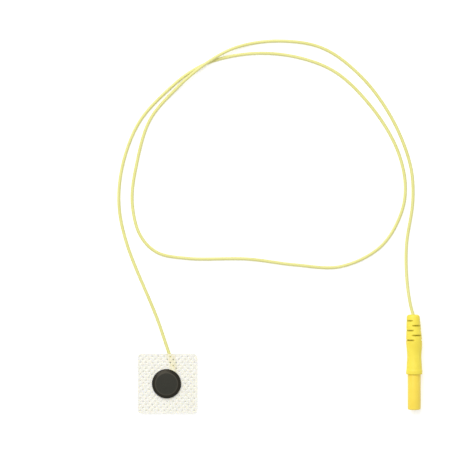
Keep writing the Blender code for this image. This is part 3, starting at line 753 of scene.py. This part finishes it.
cloth = {
    "thickness": 0.00025, "level": 0.00095, "buttonHole": 0.0055, "rounding": 2, "smoothAngle": 50,
    "holePitch": 0.00225, "holeDiameter": 0.0005, "holeMargin": 0.0008, "holeShrink": 0.93,
    "dimpleWidth": 0.00028, "dimpleDepth": 0.00015, "rippleHeight": 0.00004, "rippleScale": 300,
    "ridgeHalfWidth": 0.0019, "ridgeClearance": 0.0001, "ridgeSteps": 4,
    "tintAmount": 0.6, "tintCore": 0.0005, "tintFade": 0.0016,
}
sensor = Vector((patch["sensorX"], 0, 0))
holeRadius = cloth["holeDiameter"] / 2
holeCell = cloth["holePitch"] / 2


def pinholeAt(place):
    # middle of the pinhole whose cell of the staggered pattern holds this place, if it has one
    column, row = round(place.x / holeCell), round(place.y / holeCell)
    centre = Vector((column * holeCell, row * holeCell, 0))
    reach = patch["side"] / 2 - cloth["holeMargin"] - holeRadius
    inside = max(abs(centre.x), abs(centre.y)) < reach
    clear = (centre - sensor).length > cloth["buttonHole"] + cloth["holeDiameter"]
    return centre if (column + row) % 2 == 0 and inside and clear else None


def makeFlatCloth():
    # square cloth lying flat, with its pinholes and the hole for the button
    cells = 2 * int(patch["side"] / 2 / holeCell + 0.5) + 1
    deselectAll()
    bpy.ops.mesh.primitive_grid_add(x_subdivisions=cells, y_subdivisions=cells, size=cells * holeCell)
    piece = bpy.context.object
    piece.name = "coverCloth"
    startEdit(piece)
    pick(piece, "FACE", lambda face: pinholeAt(face.calc_center_median()))
    # a square hole, which subdivision makes round and a little smaller
    holeSide = cloth["holeDiameter"] / cloth["holeShrink"]
    bpy.ops.mesh.inset(thickness=(holeCell - holeSide) / 2, use_individual=True)
    holes = sum(polygon.select for polygon in bmesh.from_edit_mesh(piece.data).faces)
    bpy.ops.mesh.delete(type="FACE")
    bpy.ops.object.mode_set(mode="OBJECT")
    applyModifier(piece, "SUBSURF", levels=cloth["rounding"], render_levels=cloth["rounding"])
    applyModifier(piece, "SOLIDIFY", thickness=cloth["thickness"], offset=1)
    below, above = -patch["cutReach"], patch["cutReach"]
    cutWith(piece, roundedPlate("clothOutline", patch["side"], patch["cornerRadius"], below, above),
            "INTERSECT")
    cutWith(piece, disc("buttonHole", sensor, cloth["buttonHole"], below, above))
    print("cloth has", holes, "pinholes")
    return piece, holes


def layCloth(piece):
    # lifts the cloth on to the foam and over the lead, and marks where the lead shows through
    steps = cloth["ridgeSteps"]
    nearPoints = [point for point in leadPoints if max(abs(point.x), abs(point.y)) < patch["side"]]
    fine = []
    for start, end in zip(nearPoints, nearPoints[1:]):
        fine += [start.lerp(end, i / steps) for i in range(steps)]
    over = piece.data.attributes.new("overLead", "FLOAT", "POINT")
    for vert in piece.data.vertices:
        x, y = vert.co.x, vert.co.y
        nearest = min(fine, key=lambda point: (point.x - x) ** 2 + (point.y - y) ** 2)
        distance = math.hypot(nearest.x - x, nearest.y - y)
        share = min(distance / cloth["ridgeHalfWidth"], 1)
        crest = nearest.z + lead["diameter"] / 2 + cloth["ridgeClearance"] - cloth["level"]
        ripple = cloth["rippleHeight"] * (noise.noise(Vector((x, y, 0)) * cloth["rippleScale"]) + 1)
        centre = pinholeAt(vert.co)
        if centre and vert.co.z > cloth["thickness"] / 2:
            # the needle that made the pinhole has pressed its rim down
            fromRim = math.hypot(x - centre.x, y - centre.y) - holeRadius
            vert.co.z -= cloth["dimpleDepth"] * (1 - ease(fromRim / cloth["dimpleWidth"]))
        vert.co.z += cloth["level"] + crest * math.cos(share * math.pi / 2) ** 2 + ripple
        fade = ease((distance - cloth["tintCore"]) / cloth["tintFade"])
        over.data[vert.index].value = cloth["tintAmount"] * (1 - fade)
    piece.data.update()
    smoothPiece(piece, cloth["smoothAngle"])


coverCloth, pinholeCount = makeFlatCloth()
layCloth(coverCloth)
wear(coverCloth, clothFinish, "cloth", "cover_cloth")
print("cloth made")

# Patch: foam base

foam = {"thickness": 0.0009, "wellRadius": 0.0047, "edge": 0.00008, "edgeSteps": 2, "smoothAngle": 40,
        "channelRoundness": 6, "channelStride": 3}


def channelCutter():
    # tube round the lead in the patch, a little wider than the lead and longer at its inner end
    inPatch = [point for point in leadPoints if max(point.x, point.y) < patch["side"]]
    inward = (inPatch[0] - inPatch[1]).normalized() * patch["cutReach"]
    route = [inPatch[0] + inward, *inPatch[1::foam["channelStride"]]]
    deselectAll()
    cutter = tube("channelCutter", route, lead["diameter"] / 2 + lead["clearance"],
                  foam["channelRoundness"])
    cutter.select_set(True)
    bpy.context.view_layer.objects.active = cutter
    bpy.ops.object.convert(target="MESH")
    startEdit(cutter)
    closeUp()
    return cutter


def makeFoam():
    piece = roundedPlate("foamBase", patch["side"], patch["cornerRadius"], 0, foam["thickness"])
    startEdit(piece)
    pick(piece, "EDGE", lambda edge: abs(rise(edge)) < fineness["level"])
    bpy.ops.mesh.bevel(offset=foam["edge"], segments=foam["edgeSteps"], affect="EDGES")
    bpy.ops.object.mode_set(mode="OBJECT")
    well = disc("wellCutter", sensor, foam["wellRadius"], -patch["cutReach"], 2 * patch["cutReach"])
    cutWith(piece, well)
    cutWith(piece, channelCutter())
    smoothPiece(piece, foam["smoothAngle"])
    return piece


foamBase = wear(makeFoam(), foamFinish, "foam", "base_tape")
print("foam base made")

# Patch: button and gel


def placeAtSensor(piece):
    piece.location = sensor
    applyPlace(piece)
    return piece


def makeButton():
    top = button["bottom"] + button["height"]
    sideTop = top - button["bevelDrop"]
    inner = button["radius"] - button["wall"]
    ceiling = top - button["topThickness"]
    bead = button["stemBead"]
    neck = button["stemRadius"] + button["clearance"]
    boreTop = button["stemTop"] + button["clearance"]
    profile = [
        (0, top, 0), (button["faceRadius"], top, button["faceEdge"]),
        (button["radius"] - button["draft"], sideTop, button["bevelEdge"]),
        (button["radius"], button["bottom"], button["rimEdge"]),
        (inner, button["bottom"], button["skirtEdge"]), (inner, ceiling, button["ceilingEdge"]),
        (button["bossRadius"], ceiling, button["bossRoot"]),
        (button["bossRadius"], button["bossLevel"], button["bossEdge"]),
        (neck, button["bossLevel"], 0), (neck, boreTop - 4 * bead, 0),
        (neck + bead, boreTop - 3 * bead, 0), (neck + bead, boreTop - 2 * bead, 0),
        (neck, boreTop - bead, 0), (neck - bead, boreTop, 0), (0, boreTop, 0)]
    piece = placeAtSensor(turned("sensorButton", profile, fineness["buttonSteps"]))
    cutWith(piece, channelCutter())
    smoothPiece(piece, button["smoothAngle"])
    return piece


sensorButton = wear(makeButton(), buttonFinish, "black_button", "sensor_cap")
print("button made")

gel = {"thickness": 0.00045, "radius": 0.00465, "edge": 0.00012, "sag": 0.00004, "flatRadius": 0.0035,
       "smoothAngle": 50}


def makeGel():
    profile = [
        (0, gel["thickness"], 0), (gel["radius"], gel["thickness"] - gel["sag"] / 2, gel["edge"]),
        (gel["radius"], gel["sag"], gel["edge"]), (gel["flatRadius"], 0, 0), (0, 0, 0)]
    piece = placeAtSensor(turned("gelPad", profile, fineness["turnedSteps"]))
    smoothPiece(piece, gel["smoothAngle"])
    return piece


gelPad = wear(makeGel(), gelFinish, "gel", "gel_pad")
print("gel made")

# Socket, turned with its nose towards -Z and then laid down along -Y

socket = {
    "clearance": 0.00005, "smoothAngle": 35,
    "reliefLength": 0.0098, "tailRadius": 0.0024, "tailEdge": 0.0009, "leadBore": 0.00065,
    "leadBoreEdge": 0.00012, "reliefLean": 0.0004,
    "slots": 5, "slotPitch": 0.00182, "slotWidth": 0.0006, "firstSlot": 0.00225, "slotFloor": 0.0016,
    "slotRoll": 145, "slotCorner": 0.00012, "slotCornerSteps": 3, "slotSteps": 4, "darkDepth": 0.0007,
    "gripLength": 0.0125, "shoulderRadius": 0.003, "shoulderLength": 0.00075, "shoulderEdge": 0.0004,
    "waistRadius": 0.00272, "waistSteps": 16, "fineEdge": 0.0001,
    "collarRadius": 0.00305, "collarLength": 0.0014, "collarRamp": 0.00035, "collarStep": 0.00016,
    "collarEdge": 0.0002, "crimpLength": 0.0051, "crimpRadius": 0.00085,
    "spigotLength": 0.0052, "spigotRadius": 0.0019, "grooveDepth": 0.00025, "grooveWidth": 0.001,
    "noseLength": 0.0132, "noseRadius": 0.00245, "noseEdge": 0.0005, "seatEdge": 0.00004,
    "sleeveBore": 0.00135, "entryRadius": 0.00095, "entryLength": 0.00115, "entryEdge": 0.00025,
}
# stations along the socket, measured from its tail
gripFace = socket["reliefLength"] + socket["gripLength"]
noseSeat = gripFace + socket["clearance"]
spigotEnd = noseSeat - socket["spigotLength"]
leadEnd = spigotEnd - socket["crimpLength"] - socket["clearance"]
grooveMiddle = noseSeat - socket["spigotLength"] / 2
grooveStart = grooveMiddle - socket["grooveWidth"] / 2
grooveEnd = grooveMiddle + socket["grooveWidth"] / 2


def layDown(piece):
    piece.rotation_euler = (-math.pi / 2, 0, 0)
    piece.location = socketTail
    applyPlace(piece)
    return piece


def waistProfile():
    # slight hollow from the shoulder to the collar
    shoulder, steps = socket["shoulderRadius"], socket["waistSteps"]
    start = socket["reliefLength"] + socket["shoulderLength"]
    end = gripFace - socket["collarLength"] - socket["collarRamp"]
    behindCollar = socket["collarRadius"] - socket["collarStep"]
    points = []
    for i in range(steps + 1):
        share = i / steps
        straight = shoulder + (behindCollar - shoulder) * share
        dip = (shoulder - socket["waistRadius"]) * math.sin(math.pi * share) ** 2
        points.append((straight - dip, -(start + (end - start) * share), 0))
    return points


def gripProfile():
    # the grip's outside from its tail to its face, then its bore back to the tail
    collar, clearance = socket["collarRadius"], socket["clearance"]
    spigotBore = socket["spigotRadius"] + clearance
    crimpBore = socket["crimpRadius"] + clearance
    rib = spigotBore - socket["grooveDepth"]
    return [
        (socket["leadBore"], 0, socket["leadBoreEdge"]),
        (socket["tailRadius"], 0, socket["tailEdge"]),
        (socket["shoulderRadius"], -socket["reliefLength"], socket["shoulderEdge"]),
        *waistProfile(),
        (collar, -(gripFace - socket["collarLength"]), socket["fineEdge"]),
        (collar, -gripFace, socket["collarEdge"]),
        (spigotBore, -gripFace, socket["fineEdge"]),
        (spigotBore, -(grooveEnd - clearance), 0),
        (rib, -(grooveEnd - clearance), 0),
        (rib, -(grooveStart + clearance), 0),
        (spigotBore, -(grooveStart + clearance), 0),
        (spigotBore, -(spigotEnd - clearance), 0),
        (crimpBore, -(spigotEnd - clearance), 0),
        (crimpBore, -leadEnd, 0),
        (socket["leadBore"], -leadEnd, 0),
        (socket["leadBore"], 0, 0)]


def slotCutter(turn, station):
    # block with rounded inner edges, cut into slices so that the slot's floor has points to shade
    reach = 2 * socket["collarRadius"]
    half = socket["slotWidth"] / 2
    cutter = box("slotCutter", (socket["slotFloor"], -reach, -half), (reach, reach, half))
    startEdit(cutter)
    pick(cutter, "EDGE", lambda edge: all(vert.co.x < reach / 2 for vert in edge.verts)
         and abs((edge.verts[0].co - edge.verts[1].co).y) > reach)
    bpy.ops.mesh.bevel(offset=socket["slotCorner"], segments=socket["slotCornerSteps"], affect="EDGES")
    for step in range(1 - socket["slotSteps"], socket["slotSteps"]):
        bpy.ops.mesh.select_all(action="SELECT")
        across = (0, socket["shoulderRadius"] * step / socket["slotSteps"], 0)
        bpy.ops.mesh.bisect(plane_co=across, plane_no=(0, 1, 0))
    bpy.ops.object.mode_set(mode="OBJECT")
    cutter.rotation_euler.z = turn
    cutter.location.z = -station
    applyPlace(cutter)
    return cutter


def shadeSlots(piece):
    # how deep each point of the relief lies under its outside, the mask of the painted shade in the
    # slots
    relief, tail = socket["reliefLength"], socket["tailRadius"]
    paintedSlotShade = piece.data.attributes.new("paintedSlotShade", "FLOAT", "POINT")
    for vert in piece.data.vertices:
        outside = tail + (socket["shoulderRadius"] - tail) * -vert.co.z / relief
        depth = outside - math.hypot(vert.co.x, vert.co.y)
        onRelief = socket["firstSlot"] / 2 < -vert.co.z < relief
        paintedSlotShade.data[vert.index].value = ease(depth / socket["darkDepth"]) if onRelief else 0


def makeGrip():
    piece = turned("connectorGrip", gripProfile(), fineness["turnedSteps"])
    for i in range(socket["slots"]):
        # an opposed pair of slots, a quarter turn on from the last pair
        station = socket["firstSlot"] + socket["slotPitch"] * i
        for halfTurn in (0, math.pi):
            turn = -math.radians(socket["slotRoll"]) + i % 2 * math.pi / 2 + halfTurn
            cutWith(piece, slotCutter(turn, station))
    # mask for the painted shade in the slots
    shadeSlots(piece)
    # the pull of the lead leans the relief aside, most at its tail and not at all past the lead's end
    for vert in piece.data.vertices:
        vert.co.x -= socket["reliefLean"] * max(1 + vert.co.z / leadEnd, 0)
    layDown(piece)
    smoothPiece(piece, socket["smoothAngle"])
    return piece


def makeNose():
    tip = noseSeat + socket["noseLength"]
    lip = tip - socket["entryLength"]
    spigot, sleeveBore = socket["spigotRadius"], socket["sleeveBore"]
    groove = spigot - socket["grooveDepth"]
    profile = [
        (sleeveBore, -spigotEnd, 0), (spigot, -spigotEnd, socket["fineEdge"]),
        (spigot, -grooveStart, 0), (groove, -grooveStart, 0),
        (groove, -grooveEnd, 0), (spigot, -grooveEnd, 0),
        (spigot, -noseSeat, 0), (socket["noseRadius"], -noseSeat, socket["seatEdge"]),
        (socket["noseRadius"], -tip, socket["noseEdge"]),
        (socket["entryRadius"], -tip, socket["entryEdge"]), (socket["entryRadius"], -lip, 0),
        (sleeveBore, -lip, 0), (sleeveBore, -spigotEnd, 0)]
    piece = layDown(turned("socketSleeve", profile, fineness["turnedSteps"]))
    smoothPiece(piece, socket["smoothAngle"])
    return piece


connectorGrip = wear(makeGrip(), gripFinish, "yellow_overmould", "connector_grip")
socketSleeve = wear(makeNose(), noseFinish, "yellow_nose", "socket_sleeve")
print("socket made")

# Metal parts that the frame already shapes

for node, material in {"sensor_stud": studFinish, "conductor_loop": conductorFinish,
                       "socket_contact": contactFinish, "conductor_tail": conductorFinish}.items():
    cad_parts[node].data.materials.clear()
    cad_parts[node].data.materials.append(material)
